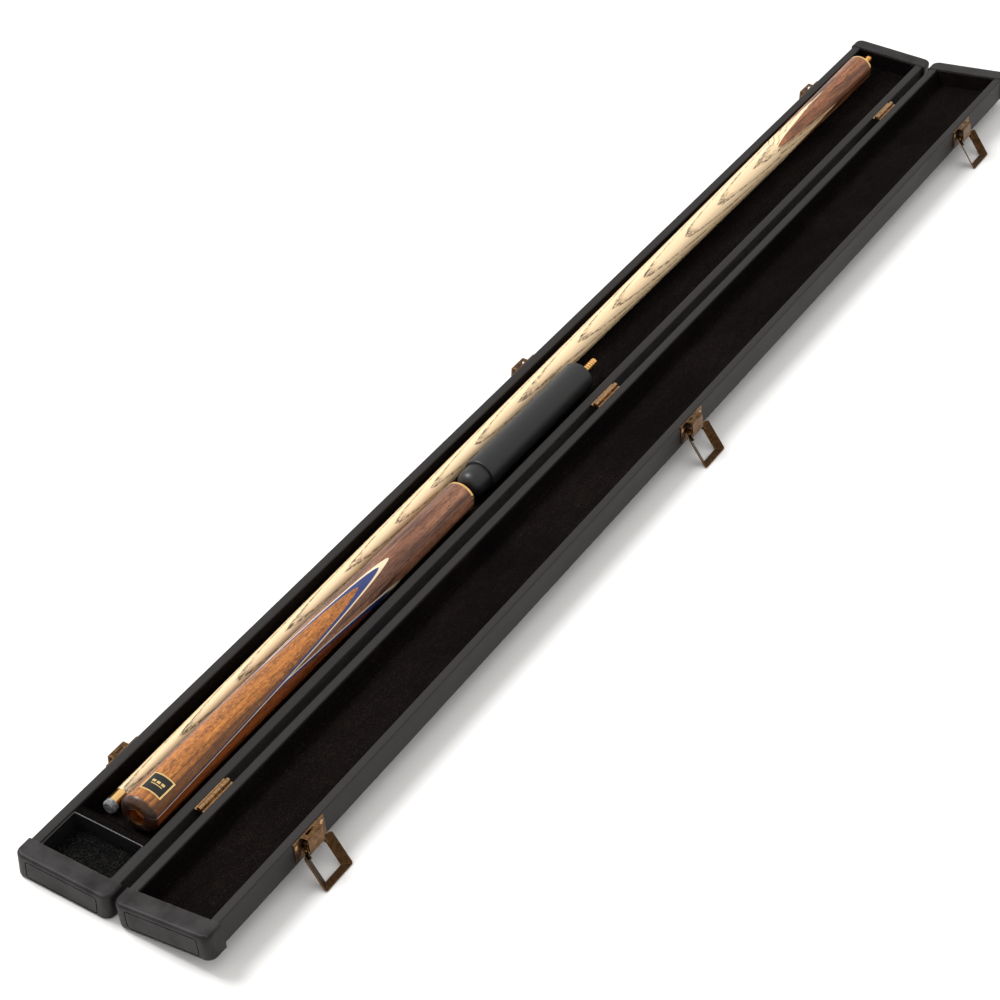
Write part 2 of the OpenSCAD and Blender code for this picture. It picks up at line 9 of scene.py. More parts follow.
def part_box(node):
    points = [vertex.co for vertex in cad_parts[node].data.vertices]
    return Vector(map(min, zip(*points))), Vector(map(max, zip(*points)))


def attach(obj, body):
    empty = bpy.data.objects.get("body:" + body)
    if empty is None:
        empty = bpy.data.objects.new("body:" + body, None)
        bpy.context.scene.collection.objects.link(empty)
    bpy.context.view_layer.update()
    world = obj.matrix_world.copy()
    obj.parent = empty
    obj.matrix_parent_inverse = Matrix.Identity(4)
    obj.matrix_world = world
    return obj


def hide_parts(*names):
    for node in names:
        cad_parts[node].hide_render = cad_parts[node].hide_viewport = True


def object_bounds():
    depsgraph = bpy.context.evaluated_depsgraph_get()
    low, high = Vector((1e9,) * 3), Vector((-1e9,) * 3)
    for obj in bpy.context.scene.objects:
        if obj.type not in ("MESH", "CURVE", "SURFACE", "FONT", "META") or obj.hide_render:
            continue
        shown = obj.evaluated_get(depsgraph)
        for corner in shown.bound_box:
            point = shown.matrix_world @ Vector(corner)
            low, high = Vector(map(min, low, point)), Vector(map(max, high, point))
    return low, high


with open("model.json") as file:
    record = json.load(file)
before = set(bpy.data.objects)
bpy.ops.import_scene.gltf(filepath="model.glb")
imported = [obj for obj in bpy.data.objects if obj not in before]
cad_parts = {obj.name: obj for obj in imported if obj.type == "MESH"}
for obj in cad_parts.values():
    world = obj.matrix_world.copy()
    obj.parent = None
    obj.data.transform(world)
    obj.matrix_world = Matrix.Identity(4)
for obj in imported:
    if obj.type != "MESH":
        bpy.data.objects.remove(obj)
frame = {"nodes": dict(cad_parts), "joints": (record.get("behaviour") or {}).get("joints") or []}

CAD_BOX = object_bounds()
MM = 0.001

# ---------------------------------------------------------------- places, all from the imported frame

JOINTS = {j["name"]: j for j in frame["joints"]}
LID_JOINT = JOINTS["lid_hinge"]
HINGE_X, _, AXIS_Z = LID_JOINT["pos_m"]
TILT = math.radians(LID_JOINT["range_deg"][1])


def tray_space(node):
    """Lowest and highest corners of a base node, in tray coordinates."""
    low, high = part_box(node)
    return Vector((HINGE_X - high.x, low.y, low.z)), Vector((HINGE_X - low.x, high.y, high.z))


# the trays' own limits: out from the hinge plane, along the case, and up
_low, _high = tray_space("base_outer_wall")
BAY_OUT, WALL_OUT, RIM = _low.x, _high.x, _high.z
FRAME_END = _high.y
_low, _high = tray_space("base_hinge_wall")
WALL_IN, BAY_IN = _low.x, _high.x
_low, _high = tray_space("base_panel")
SHELL_LOW, FLOOR = _low.z, _high.z
_low, _high = tray_space("base_cap_near")
CAP_IN, CAP_OUT, CAP_END, CAP_MOUTH, CAP_TOP = _low.x, _high.x, _low.y, _high.y, _high.z
BAY_END = -CAP_MOUTH
_low, _high = tray_space("base_lining")
LINING_NEAR, LINING_TOP = _low.y, _high.z
# thickness of the velvet on the floor and on the walls
NAP = 1.0 * MM
WALL_NAP = 0.8 * MM


def tray_matrix(side):
    """Tray coordinates (out from the hinge plane, along the case, up) to the row frame."""
    hinge = Matrix.Translation((HINGE_X, 0, AXIS_Z))
    drop = Matrix.Translation((0, 0, -AXIS_Z))
    if side == "base":
        return hinge @ Matrix.Scale(-1, 4, Vector((1, 0, 0))) @ drop
    return hinge @ Matrix.Rotation(-TILT, 4, "Y") @ drop


# ---------------------------------------------------------------- mesh helpers


def outward(mesh):
    """Turns every face of a closed mesh outward."""
    work = bmesh.new()
    work.from_mesh(mesh)
    bmesh.ops.recalc_face_normals(work, faces=work.faces)
    work.to_mesh(mesh)
    work.free()


def shade(mesh, angle):
    """Smooth shading, with every edge sharper than the angle kept crisp."""
    for polygon in mesh.polygons:
        polygon.use_smooth = True
    mesh.set_sharp_from_angle(angle=math.radians(angle))


def make(name, verts, faces, material, body, replaces=(), uvs=None, smooth=35.0, side=None):
    """New piece from raw geometry, placed, shaded, and riding on its body."""
    mesh = bpy.data.meshes.new(name)
    mesh.from_pydata([tuple(v) for v in verts], [], [tuple(f) for f in faces])
    if uvs is not None:
        layer = mesh.uv_layers.new(name="UVMap")
        for loop in mesh.loops:
            layer.data[loop.index].uv = uvs[loop.vertex_index]
    if side is not None:
        mesh.transform(tray_matrix(side))
    outward(mesh)
    return piece(name, mesh, material, body, replaces, smooth)


def piece(name, mesh, material, body, replaces=(), smooth=35.0):
    """Object from a finished mesh, shaded and riding on its body."""
    mesh.materials.clear()
    mesh.materials.append(material)
    shade(mesh, smooth)
    obj = bpy.data.objects.new(name, mesh)
    bpy.context.scene.collection.objects.link(obj)
    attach(obj, body)
    if replaces:
        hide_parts(*replaces)
    return obj


def bevel(obj, width, segments=2, angle=30.0):
    """Eases every edge sharper than the angle."""
    mod = obj.modifiers.new("edges", "BEVEL")
    mod.width = width
    mod.segments = segments
    mod.limit_method = "ANGLE"
    mod.angle_limit = math.radians(angle)
    mod.harden_normals = True


def clean_copy(node, name, material, body, edge, segments=2):
    """A CAD node's own shape with its flat faces joined up, so that its edges can be eased."""
    work = bmesh.new()
    work.from_mesh(frame["nodes"][node].data)
    weld, flat = 0.002 * MM, math.radians(0.6)
    bmesh.ops.remove_doubles(work, verts=work.verts, dist=weld)
    bmesh.ops.dissolve_limit(work, angle_limit=flat, verts=work.verts, edges=work.edges)
    bmesh.ops.recalc_face_normals(work, faces=work.faces)
    mesh = bpy.data.meshes.new(name)
    work.to_mesh(mesh)
    work.free()
    obj = piece(name, mesh, material, body, (node,), smooth=32)
    bevel(obj, edge, segments)


def fillet(corners, steps=5):
    """Closed outline through (x, y, radius) corners, each rounded to its radius."""
    out = []
    count = len(corners)
    for i, (x, y, r) in enumerate(corners):
        p = Vector((x, y))
        if r <= 0:
            out.append(p)
            continue
        a = (Vector(corners[i - 1][:2]) - p).normalized()
        b = (Vector(corners[(i + 1) % count][:2]) - p).normalized()
        half = a.angle(b) / 2
        reach = r / math.tan(half)
        centre = p + (a + b).normalized() * (r / math.sin(half))
        start, end = p + a * reach - centre, p + b * reach - centre
        turn = start.angle_signed(end)
        for k in range(steps + 1):
            t = -turn * k / steps
            out.append(centre + Matrix.Rotation(t, 2) @ start)
    return out


def spread(values, gap):
    """The values with extra ones put in between so that no gap is wider than gap."""
    out = [values[0]]
    for a, b in zip(values, values[1:]):
        n = max(1, math.ceil((b - a) / gap))
        out += [a + (b - a) * k / n for k in range(1, n + 1)]
    return out


def quarter(steps):
    """Angles of a quarter turn."""
    return [math.pi / 2 * k / steps for k in range(steps + 1)]


def walls(rows, n):
    """Faces between successive closed rings of n points."""
    faces = []
    for i in range(rows - 1):
        for k in range(n):
            q = (k + 1) % n
            faces.append((i * n + k, i * n + q, (i + 1) * n + q, (i + 1) * n + k))
    return faces


def loft(rows, n):
    """Faces of a closed solid through rings of n points."""
    return walls(rows, n) + [tuple(reversed(range(n))), tuple(range((rows - 1) * n, rows * n))]


def extruded(outline, ys, push=None):
    """Closed bar along the case: (vertices, faces, uvs), with uv as (round the outline, along)."""
    verts, uvs = [], []
    n = len(outline)
    run = [0.0]
    for a, b in zip(outline, outline[1:]):
        run.append(run[-1] + (b - a).length)
    for y in ys:
        for k, p in enumerate(outline):
            v = Vector((p.x, y, p.y))
            verts.append(v + push(v) if push else v)
            uvs.append((run[k], y))
    faces = walls(len(ys), n)
    faces.append(tuple(range(n)))
    faces.append(tuple(reversed(range((len(ys) - 1) * n, len(ys) * n))))
    return verts, faces, uvs


def rounded_box(low, high, r, gap, push=None):
    """Closed block with eased upright and top edges, evenly divided so that it can be made uneven."""
    levels = [(0.0, z) for z in spread([low.z, high.z - r], gap)][:-1]
    levels += [(r * (1 - math.cos(a)), high.z - r + r * math.sin(a)) for a in quarter(4)]

    def ring(inset, z):
        x0, x1, y0, y1 = low.x + inset, high.x - inset, low.y + inset, high.y - inset
        xs = [x0 + (x1 - x0) * k / nx for k in range(nx)]
        yy = [y0 + (y1 - y0) * k / ny for k in range(ny)]
        return (
            [Vector((x, y0, z)) for x in xs]
            + [Vector((x1, y, z)) for y in yy]
            + [Vector((x1 + x0 - x, y1, z)) for x in xs]
            + [Vector((x0, y1 + y0 - y, z)) for y in yy]
        )

    nx = max(2, math.ceil((high.x - low.x) / gap))
    ny = max(2, math.ceil((high.y - low.y) / gap))
    n = 2 * (nx + ny)
    verts = [v for inset, z in levels for v in ring(inset, z)]
    faces = walls(len(levels), n)
    faces.append(tuple(reversed(range(n))))
    top = (len(levels) - 1) * n
    x0, x1, y0, y1 = low.x + r, high.x - r, low.y + r, high.y - r
    grid = {}
    for i in range(nx + 1):
        for j in range(ny + 1):
            if j == 0 and i < nx:
                grid[i, j] = top + i
            elif i == nx and j < ny:
                grid[i, j] = top + nx + j
            elif j == ny and i > 0:
                grid[i, j] = top + nx + ny + (nx - i)
            elif i == 0 and j > 0:
                grid[i, j] = top + 2 * nx + ny + (ny - j)
            else:
                grid[i, j] = len(verts)
                verts.append(Vector((x0 + (x1 - x0) * i / nx, y0 + (y1 - y0) * j / ny, high.z)))
    for i in range(nx):
        for j in range(ny):
            faces.append((grid[i, j], grid[i + 1, j], grid[i + 1, j + 1], grid[i, j + 1]))
    if push:
        verts = [v + push(v) for v in verts]
    return verts, faces


def join(parts):
    """Several (vertices, faces) lists as one."""
    verts, faces = [], []
    for v, f in parts:
        base = len(verts)
        verts += [Vector(p) for p in v]
        faces += [tuple(i + base for i in face) for face in f]
    return verts, faces


def turned(profile, matrix, count):
    """Closed solid turned about local Z from (radius, z) points, the first and last on the axis."""
    verts, faces = [], []
    rows = []
    for r, z in profile:
        if r < 1e-9:
            rows.append([len(verts)])
            verts.append(matrix @ Vector((0, 0, z)))
        else:
            rows.append(list(range(len(verts), len(verts) + count)))
            for k in range(count):
                a = 2 * math.pi * k / count
                verts.append(matrix @ Vector((r * math.cos(a), r * math.sin(a), z)))
    for a, b in zip(rows, rows[1:]):
        for k in range(count):
            q = (k + 1) % count
            ring = [a[k % len(a)], a[q % len(a)], b[q % len(b)], b[k % len(b)]]
            face = tuple(dict.fromkeys(ring))
            if len(face) > 2:
                faces.append(face)
    return verts, faces


def tube(path, r):
    """Closed round wire along a path of points."""
    count = 10
    verts = []
    up = Vector((0.13, 0.92, 0.37)).normalized()
    for i, p in enumerate(path):
        ahead = (path[min(i + 1, len(path) - 1)] - path[max(i - 1, 0)]).normalized()
        side = ahead.cross(up).normalized()
        up = side.cross(ahead).normalized()
        for k in range(count):
            a = 2 * math.pi * k / count
            verts.append(p + r * (math.cos(a) * side + math.sin(a) * up))
    return verts, loft(len(path), count)


def carve(obj, verts, faces):
    """Cuts a closed shape out of a piece, for good."""
    mesh = bpy.data.meshes.new("cutter")
    mesh.from_pydata([tuple(v) for v in verts], [], faces)
    outward(mesh)
    tool = bpy.data.objects.new("cutter", mesh)
    bpy.context.scene.collection.objects.link(tool)
    mod = obj.modifiers.new("cut", "BOOLEAN")
    mod.operation = "DIFFERENCE"
    mod.solver = "EXACT"
    mod.object = tool
    bpy.context.view_layer.update()
    done = bpy.data.meshes.new_from_object(obj.evaluated_get(bpy.context.evaluated_depsgraph_get()))
    obj.modifiers.remove(mod)
    old = obj.data
    obj.data = done
    bpy.data.objects.remove(tool)
    bpy.data.meshes.remove(mesh)
    bpy.data.meshes.remove(old)


def box_mesh(low, high):
    """Closed plain block."""
    x0, y0, z0 = low
    x1, y1, z1 = high
    verts = [(x, y, z) for x in (x0, x1) for y in (y0, y1) for z in (z0, z1)]
    faces = [(0, 1, 3, 2), (4, 6, 7, 5), (0, 4, 5, 1), (2, 3, 7, 6), (0, 2, 6, 4), (1, 5, 7, 3)]
    return [Vector(v) for v in verts], faces


# ---------------------------------------------------------------- material helpers


def srgb(r, g, b):
    """Linear colour from 0 to 255 display values."""

    def lin(c):
        c /= 255
        return c / 12.92 if c <= 0.04045 else ((c + 0.055) / 1.055) ** 2.4

    return (lin(r), lin(g), lin(b), 1.0)


class Shader:
    """Short way to write a node material."""

    def __init__(self, name):
        self.material = bpy.data.materials.new(name)
        self.material.use_nodes = True
        self.tree = self.material.node_tree
        self.bsdf = self.tree.nodes["Principled BSDF"]
        self.coords = self.tree.nodes.new("ShaderNodeTexCoord")

    def put(self, socket, value):
        if isinstance(value, bpy.types.NodeSocket):
            self.tree.links.new(value, socket)
        else:
            socket.default_value = value

    def node(self, kind, inputs, out=0, **props):
        n = self.tree.nodes.new(kind)
        for key, value in props.items():
            setattr(n, key, value)
        for key, value in inputs.items():
            self.put(n.inputs[key], value)
        return n.outputs[out]

    def set(self, **values):
        """Sets inputs of the surface, named with _ for a space."""
        for key, value in values.items():
            self.put(self.bsdf.inputs[key.replace("_", " ")], value)

    def place(self, scale=(1, 1, 1)):
        """Object coordinates, scaled."""
        return self.node("ShaderNodeMapping", {"Vector": self.coords.outputs["Object"], "Scale": scale})

    def noise(self, vector, scale, detail=4.0, rough=0.55, warp=0.0):
        return self.node(
            "ShaderNodeTexNoise",
            {"Vector": vector, "Scale": scale, "Detail": detail, "Roughness": rough, "Distortion": warp},
        )

    def grain(self, vector, along, scale, detail, rough=0.55, warp=0.0):
        """Noise pulled out along the cue, so that it turns into streaks."""
        drawn = self.node("ShaderNodeMapping", {"Vector": vector, "Scale": (1, along, 1)})
        return self.noise(drawn, scale, detail, rough, warp)

    def math(self, op, a, b=0.0):
        return self.node("ShaderNodeMath", {0: a, 1: b}, operation=op)

    def fade(self, value, low, high, to_low=0.0, to_high=1.0):
        return self.node(
            "ShaderNodeMapRange",
            {"Value": value, "From Min": low, "From Max": high, "To Min": to_low, "To Max": to_high},
        )

    def mix(self, fac, a, b):
        """Colour a to colour b; the numbers are the mix node's colour sockets."""
        return self.node("ShaderNodeMix", {0: fac, 6: a, 7: b}, out=2, data_type="RGBA")

    def split(self, vector):
        n = self.tree.nodes.new("ShaderNodeSeparateXYZ")
        self.put(n.inputs[0], vector)
        return n.outputs

    def bump(self, height, distance, strength):
        return self.node("ShaderNodeBump", {"Height": height, "Distance": distance, "Strength": strength})

    def edges(self, radius, low, high):
        """1 along outside and inside edges, 0 on flat faces."""
        soft = self.node("ShaderNodeBevel", {"Radius": radius}, samples=6)
        geometry = self.tree.nodes.new("ShaderNodeNewGeometry")
        dot = self.node(
            "ShaderNodeVectorMath", {0: soft, 1: geometry.outputs["Normal"]}, out=1, operation="DOT_PRODUCT"
        )
        return self.fade(self.math("SUBTRACT", 1.0, dot), low, high)


# ---------------------------------------------------------------- materials


def leatherette():
    """Ribbed covering cloth: fine ribs along the case, a pressed grain, painted highlights on the rib tops,
    light rubbing.
    """
    s = Shader("leatherette")
    uv = s.split(s.coords.outputs["UV"])
    rib_pitch, cross_pitch = 0.85 * MM, 1.1 * MM
    wander = s.noise(s.place(), 60, 2)
    rib_at = s.math("MULTIPLY", uv[0], 2 * math.pi / rib_pitch)
    rib_at = s.math("ADD", rib_at, s.math("MULTIPLY", wander, 2.2))
    ribs = s.fade(s.math("SINE", rib_at), -1, 1)
    cross = s.fade(s.math("SINE", s.math("MULTIPLY", uv[1], 2 * math.pi / cross_pitch)), -1, 1)
    grain = s.noise(s.place(), 2600, 3, 0.6)
    broad = s.noise(s.place((1, 0.25, 1)), 45, 4)
    height = s.math("ADD", s.math("MULTIPLY", ribs, 0.6), s.math("MULTIPLY", grain, 0.35))
    height = s.math("ADD", height, s.math("MULTIPLY", s.math("MULTIPLY", ribs, cross), 0.35))
    tone = s.mix(broad, srgb(25, 23, 23), srgb(35, 32, 32))
    # painted highlight: the rib tops are painted lighter where the grain rises, as if they caught the light
    tone = s.mix(s.fade(s.math("MULTIPLY", ribs, grain), 0.15, 0.6), tone, srgb(46, 43, 42))
    worn = s.math("MULTIPLY", s.edges(1.2 * MM, 0.01, 0.3), s.fade(s.noise(s.place(), 500, 3), 0.45, 0.7))
    tone = s.mix(s.math("MULTIPLY", worn, 0.45), tone, srgb(92, 89, 90))
    s.set(
        Base_Color=tone,
        Roughness=s.fade(s.math("ADD", broad, grain), 0.6, 1.4, 0.42, 0.62),
        Normal=s.bump(height, 0.07 * MM, 0.8),
        Specular_IOR_Level=0.24,
    )
    return s.material


def cap_plastic():
    """Satin moulding with a fine eggshell grain and pale rubbed edges."""
    s = Shader("cap_plastic")
    at = s.place()
    grain = s.noise(at, 3200, 2, 0.5)
    broad = s.noise(at, 70, 4)
    tone = s.mix(broad, srgb(25, 23, 23), srgb(35, 33, 33))
    rub = s.math("MULTIPLY", s.edges(0.9 * MM, 0.02, 0.22), s.fade(s.noise(at, 380, 4, 0.7), 0.44, 0.66))
    tone = s.mix(s.math("MULTIPLY", rub, 0.5), tone, srgb(110, 106, 107))
    scuff = s.fade(s.noise(s.place((1, 9, 3)), 240, 3, 0.7), 0.62, 0.72)
    tone = s.mix(s.math("MULTIPLY", scuff, 0.25), tone, srgb(76, 73, 74))
    s.set(
        Base_Color=tone,
        Roughness=s.fade(s.math("ADD", grain, broad), 0.7, 1.3, 0.4, 0.55),
        Normal=s.bump(grain, 0.03 * MM, 0.7),
        Specular_IOR_Level=s.fade(broad, 0.35, 0.65, 0.14, 0.3),
    )
    return s.material


def velvet(name, dark, light, speck, glint):
    """Short pile: nearly black, brushed into slightly paler drifts, with a few glinting tips."""
    s = Shader(name)
    drift = s.noise(s.place((1, 0.5, 1)), 16, 4, 0.6, 0.6)
    brushed = s.noise(s.place((1, 0.3, 1)), 150, 4, 0.65, 0.5)
    pile = s.noise(s.place(), 2600, 3, 0.75)
    tufts = s.noise(s.place(), 700, 3, 0.7)
    specks = s.fade(s.noise(s.place(), 1500, 1, 0.5), 0.66, 0.72)
    amount = s.math("MULTIPLY", s.fade(drift, 0.34, 0.66), s.fade(brushed, 0.3, 0.66, 0.35, 1.0))
    tone = s.mix(amount, dark, light)
    tips = s.math("MULTIPLY", s.fade(tufts, 0.5, 0.66), s.fade(pile, 0.35, 0.6))
    tone = s.mix(s.math("MULTIPLY", tips, s.fade(amount, 0, 1, 0.35, 0.8)), tone, speck)
    tone = s.mix(s.math("MULTIPLY", specks, s.fade(amount, 0, 1, 0.1, 0.45)), tone, glint)
    height = s.math("ADD", s.math("MULTIPLY", pile, 0.5), s.math("MULTIPLY", tufts, 0.9))
    s.set(Base_Color=tone, Roughness=0.97, Normal=s.bump(height, 0.5 * MM, 1.0), Specular_IOR_Level=0.04)
    s.set(Sheen_Weight=s.fade(amount, 0, 1, 0.0, 0.02), Sheen_Roughness=0.5, Sheen_Tint=srgb(150, 128, 116))
    return s.material


def antique_brass(name, deep, mid, worn):
    """Brown patina in the hollows, brass rubbed bright along the edges."""
    s = Shader(name)
    at = s.place()
    broad = s.noise(at, 320, 5, 0.6, 0.6)
    fine = s.noise(at, 2400, 3, 0.6)
    tone = s.mix(s.fade(broad, 0.3, 0.72), deep, mid)
    spots = s.fade(s.noise(at, 1300, 4, 0.7), 0.6, 0.7)
    tone = s.mix(s.math("MULTIPLY", spots, 0.55), tone, srgb(48, 33, 22))
    rub = s.edges(0.35 * MM, 0.02, 0.25)
    tone = s.mix(s.math("MULTIPLY", rub, s.fade(fine, 0.3, 0.6, 0.35, 0.9)), tone, worn)
    brushed = s.noise(s.place((1, 14, 1)), 900, 2)
    s.set(
        Base_Color=tone,
        Metallic=1.0,
        Roughness=s.fade(s.math("ADD", broad, fine), 0.7, 1.3, 0.24, 0.42),
        Normal=s.bump(s.math("ADD", brushed, fine), 0.02 * MM, 0.6),
    )
    return s.material


def bright_brass(name, clean, dull):
    """Lathe-turned brass with fine rings and a little tarnish."""
    s = Shader(name)
    at = s.place()
    rings = s.noise(s.place((1, 60, 1)), 160, 2)
    tarnish = s.noise(at, 420, 4, 0.65)
    tone = s.mix(s.fade(tarnish, 0.35, 0.75), clean, dull)
    tone = s.mix(s.math("MULTIPLY", s.fade(s.noise(at, 1500, 3), 0.62, 0.72), 0.6), tone, srgb(110, 78, 42))
    s.set(
        Base_Color=tone,
        Metallic=1.0,
        Roughness=s.fade(tarnish, 0.3, 0.8, 0.18, 0.36),
        Normal=s.bump(rings, 0.012 * MM, 0.5),
    )
    return s.material


def spring_steel():
    """Drawn wire, unevenly bright."""
    s = Shader("spring_steel")
    draw = s.noise(s.place(), 3000, 2)
    tone = s.mix(draw, srgb(120, 118, 116), srgb(176, 174, 170))
    s.set(Base_Color=tone, Metallic=1.0, Roughness=s.fade(draw, 0.3, 0.7, 0.25, 0.42))
    return s.material


def cue_frame(s, node):
    """Cue coordinates: across, along and up from the middle of a cue section, in metres."""
    low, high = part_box(node)
    mid = (low + high) / 2
    return s.node("ShaderNodeVectorMath", {0: s.coords.outputs["Object"], 1: tuple(-mid)}, operation="ADD")


def ash_wood(node):
    """Straight ash: cream wood whose dark open pores draw arrowheads along the taper."""
    s = Shader("ash")
    at = cue_frame(s, node)
    # the tree's pith lies below the cue and to its -X side, and the rings run out along the taper
    pith_across, pith_below, run_out, ring_gap = 9.5 * MM, 23 * MM, 0.021, 2.1 * MM
    x, y, z = s.split(at)
    warp = s.math("SUBTRACT", s.grain(at, 0.08, 60, 3, 0.6), 0.5)
    sway = s.math("SUBTRACT", s.grain(at, 0.25, 22, 2), 0.5)
    dx = s.math("ADD", x, pith_across)
    dz = s.math("ADD", z, pith_below)
    radius = s.math("SQRT", s.math("ADD", s.math("MULTIPLY", dx, dx), s.math("MULTIPLY", dz, dz)))
    ring = s.math("ADD", radius, s.math("MULTIPLY", y, run_out))
    ring = s.math("ADD", ring, s.math("MULTIPLY", warp, 1.9 * MM))
    ring = s.math("ADD", ring, s.math("MULTIPLY", sway, 2.4 * MM))
    turn = s.math("FRACT", s.math("DIVIDE", s.math("ADD", ring, 2.0), ring_gap))
    early = s.math("MULTIPLY", s.fade(turn, 0.0, 0.04), s.fade(turn, 0.1, 0.36, 1.0, 0.0))
    coarse = s.fade(s.grain(at, 0.16, 1150, 2, 0.6), 0.44, 0.54)
    fine = s.fade(s.grain(at, 0.07, 2400, 2, 0.6), 0.5, 0.58)
    dark = s.math("MULTIPLY", early, s.math("MAXIMUM", coarse, s.math("MULTIPLY", fine, 0.6)))
    base = s.mix(s.grain(at, 0.03, 420, 3), srgb(232, 198, 150), srgb(249, 224, 186))
    base = s.mix(s.math("MULTIPLY", early, 0.3), base, srgb(206, 168, 118))
    tone = s.mix(s.math("MULTIPLY", dark, 0.92), base, srgb(66, 48, 34))
    s.set(Base_Color=tone, Roughness=0.36, Normal=s.bump(dark, -0.03 * MM, 0.5))
    s.set(Coat_Weight=0.35, Coat_Roughness=0.22)
    return s.material


def scorch(s, tone, node):
    """Darkens the last few millimetres of the butt, where its rounded base is stained."""
    wander = s.noise(s.place(), 500, 3, 0.6)
    y = s.math("ADD", s.split(s.coords.outputs["Object"])[1], -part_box(node)[0].y)
    y = s.math("ADD", y, s.math("MULTIPLY", s.math("SUBTRACT", wander, 0.5), 1.6 * MM))
    burnt = s.fade(y, 3.0 * MM, 4.8 * MM, 1.0, 0.0)
    return s.mix(s.math("MULTIPLY", burnt, 0.9), tone, s.mix(wander, srgb(10, 7, 6), srgb(40, 27, 21)))


def dense_wood(name, node, deep, mid, pale, fleck, stretch=0.06, streak=300.0, figure=0.0,
               stripes=0.5, burnt=False, slant=0.0, smoke=0.0):
    """Close hard wood: long streaks and short dark pores.

    If asked, it has a mottled figure, grain at a slant, smoky margins, and a scorched end.
    """
    s = Shader(name)
    at = cue_frame(s, node)
    if slant:
        at = s.node("ShaderNodeMapping", {"Vector": at, "Rotation": (slant, 0, slant)})
    streaks = s.grain(at, stretch, streak, 5, 0.65, 0.4)
    bands = s.grain(at, 0.04, 110, 3, 0.5, 0.6)
    tone = s.mix(s.fade(streaks, 0.36, 0.62), deep, mid)
    tone = s.mix(s.fade(bands, 0.46, 0.7), tone, pale)
    if figure:
        mottle = s.grain(at, 0.7, 480, 4, 0.7, 0.6)
        tone = s.mix(s.math("MULTIPLY", s.fade(mottle, 0.42, 0.62), figure), tone, pale)
    stripe = s.grain(at, 0.035, 190, 4, 0.6, 1.2)
    tone = s.mix(s.math("MULTIPLY", s.fade(stripe, 0.5, 0.62), stripes), tone, fleck)
    if smoke:
        x = s.math("ABSOLUTE", s.math("ADD", s.split(at)[0], s.math("MULTIPLY", bands, 3 * MM)))
        edge = s.fade(s.math("ADD", x, s.math("MULTIPLY", streaks, 5 * MM)), 9 * MM, 14 * MM)
        tone = s.mix(s.math("MULTIPLY", edge, smoke), tone, fleck)
    tiny = s.fade(s.grain(at, 0.09, 1900, 2, 0.6), 0.54, 0.62)
    tone = s.mix(s.math("MULTIPLY", tiny, 0.62), tone, fleck)
    if burnt:
        tone = scorch(s, tone, node)
    s.set(Base_Color=tone, Roughness=0.42, Normal=s.bump(tiny, -0.025 * MM, 0.45))
    s.set(Specular_IOR_Level=0.3, Coat_Weight=0.22, Coat_Roughness=0.16)
    return s.material


def veneer(name, low, high):
    """Dyed or pale veneer with fine long lines."""
    s = Shader(name)
    lines = s.noise(s.place((1, 0.05, 1)), 900, 4, 0.6)
    tone = s.mix(lines, low, high)
    tone = scorch(s, tone, "butt_core")
    s.set(Base_Color=tone, Roughness=0.4, Normal=s.bump(lines, 0.01 * MM, 0.3))
    s.set(Coat_Weight=0.3, Coat_Roughness=0.25)
    return s.material


def moulded(name, dark, light, rough, edge=None):
    """Black or charcoal moulding with a faint texture and, when an edge colour is given, a painted
    highlight along its edges.
    """
    s = Shader(name)
    at = s.place()
    fine = s.noise(at, 2800, 2, 0.5)
    broad = s.noise(at, 90, 4)
    tone = s.mix(broad, dark, light)
    if edge:
        # painted highlight: the edge colour lightens the edges as if they caught the light
        tone = s.mix(s.math("MULTIPLY", s.edges(0.5 * MM, 0.02, 0.2), 0.6), tone, edge)
    s.set(
        Base_Color=tone,
        Roughness=s.fade(s.math("ADD", fine, broad), 0.7, 1.3, rough - 0.06, rough + 0.08),
        Normal=s.bump(fine, 0.02 * MM, 0.5),
    )
    return s.material


def tip_leather():
    """Pressed leather, dusted with chalk."""
    s = Shader("tip_leather")
    at = s.place()
    fibres = s.noise(at, 1800, 5, 0.7)
    dust = s.noise(at, 600, 4, 0.6)
    tone = s.mix(fibres, srgb(78, 79, 80), srgb(124, 125, 126))
    tone = s.mix(s.fade(dust, 0.45, 0.7), tone, srgb(158, 160, 161))
    s.set(Base_Color=tone, Roughness=0.85, Normal=s.bump(fibres, 0.08 * MM, 0.9))
    return s.material


